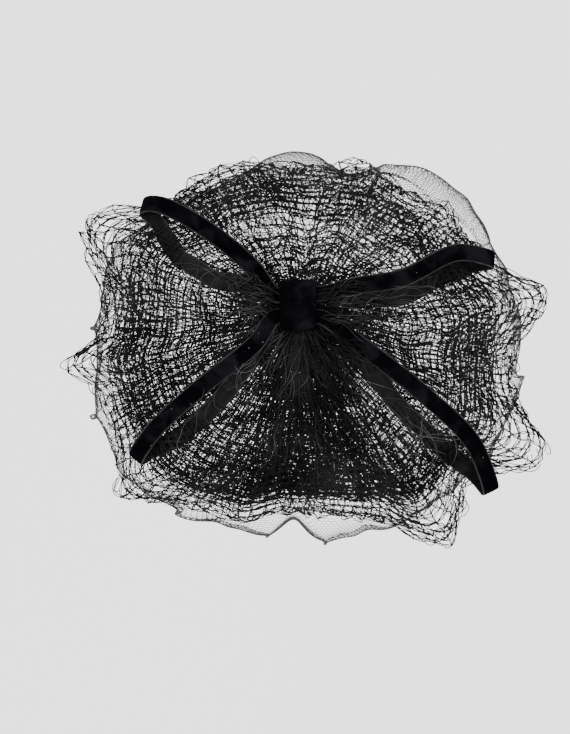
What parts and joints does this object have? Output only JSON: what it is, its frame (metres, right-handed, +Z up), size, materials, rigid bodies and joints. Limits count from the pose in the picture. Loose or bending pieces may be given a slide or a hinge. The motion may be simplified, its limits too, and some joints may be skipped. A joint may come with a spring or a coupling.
{
  "type": "veiled halo hat",
  "caption": "Black halo hat of net: a loose tulle dome, a gathered coarse veil with a ruffled edge, and a velvet ribbon bow at the back.",
  "frame": {"origin": "where the crown of a head bears on the inside of the dome", "axes": "+Z up, +Y the way the wearer faces, +X the wearer's right; the bow is on the back of the crown"},
  "size_m": [0.271, 0.2516, 0.1871],
  "materials": {
    "tulle": "fine black nylon tulle with hexagonal mesh, see-through, slightly crisp",
    "veiling": "coarse black millinery net of paired threads with small knots at the crossings",
    "velvet": "black rayon velvet ribbon, deep matt pile with woven selvedges and a duller back"
  },
  "bodies": {
    "root": {"tulle_cap": "tulle", "coarse_veil": "veiling", "bow_loop_upper_left": "velvet", "bow_loop_upper_right": "velvet", "bow_loop_lower_left": "velvet", "bow_loop_lower_right": "velvet", "bow_knot": "velvet"}
  },
  "joints": []
}
